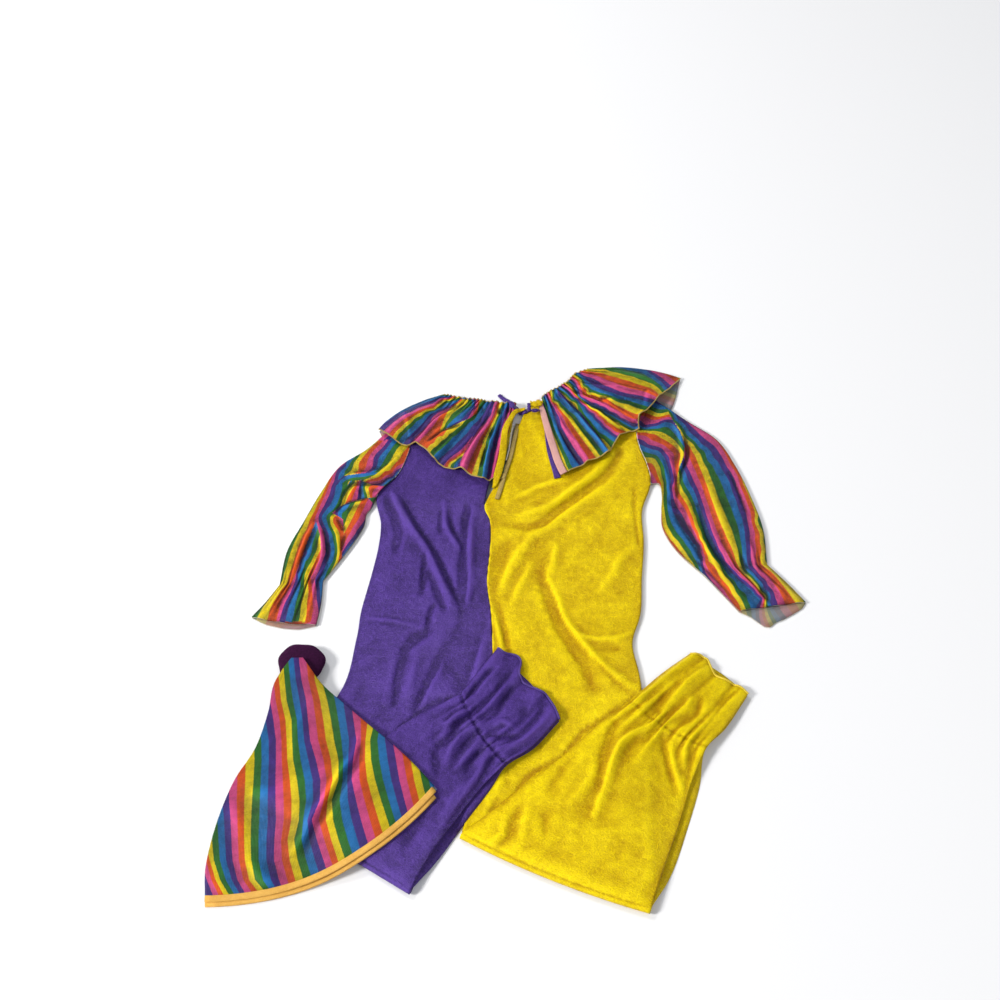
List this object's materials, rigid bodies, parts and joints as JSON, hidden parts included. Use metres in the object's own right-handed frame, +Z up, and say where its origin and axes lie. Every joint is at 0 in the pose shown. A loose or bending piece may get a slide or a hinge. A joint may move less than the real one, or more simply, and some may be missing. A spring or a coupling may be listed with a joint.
{
  "type": "clown costume",
  "caption": "Child's two-colour clown jumpsuit with striped ruffle collar and sleeves, laid flat with folded legs, and its striped cone hat.",
  "frame": {"origin": "middle of the costume's box, on the table it lies on", "axes": "+X to the viewer's right, +Y towards the collar, +Z up from the table"},
  "size_m": [0.6093, 0.6707, 0.025],
  "materials": {
    "purple_knit": "thin shiny polyester knit, purple",
    "yellow_knit": "thin shiny polyester knit, golden yellow",
    "rainbow_stripe": "thin polyester knit printed with rainbow stripes",
    "amber_tape": "folded binding tape, light orange",
    "plum_pile": "short soft pile, dark plum",
    "pale_pink_tape": "folded tape, pale pink"
  },
  "bodies": {
    "root": {"back_purple": "purple_knit", "back_yellow": "yellow_knit", "front_purple": "purple_knit", "front_yellow": "yellow_knit", "hat_binding_lower": "amber_tape", "hat_binding_upper": "amber_tape", "hat_lower": "rainbow_stripe", "hat_upper": "rainbow_stripe", "leg_layers_purple": "purple_knit", "leg_layers_yellow": "yellow_knit", "neck_tape_left": "purple_knit", "neck_tape_right": "yellow_knit", "pompon": "plum_pile", "ruffle_left_back": "rainbow_stripe", "ruffle_left_front": "rainbow_stripe", "ruffle_right_back": "rainbow_stripe", "ruffle_right_front": "rainbow_stripe", "sleeve_left_lower": "rainbow_stripe", "sleeve_left_upper": "rainbow_stripe", "sleeve_right_lower": "rainbow_stripe", "sleeve_right_upper": "rainbow_stripe", "tie_knot": "purple_knit", "tie_pink": "pale_pink_tape", "tie_purple_down": "purple_knit", "tie_purple_up": "purple_knit", "tie_yellow": "yellow_knit"}
  },
  "joints": []
}
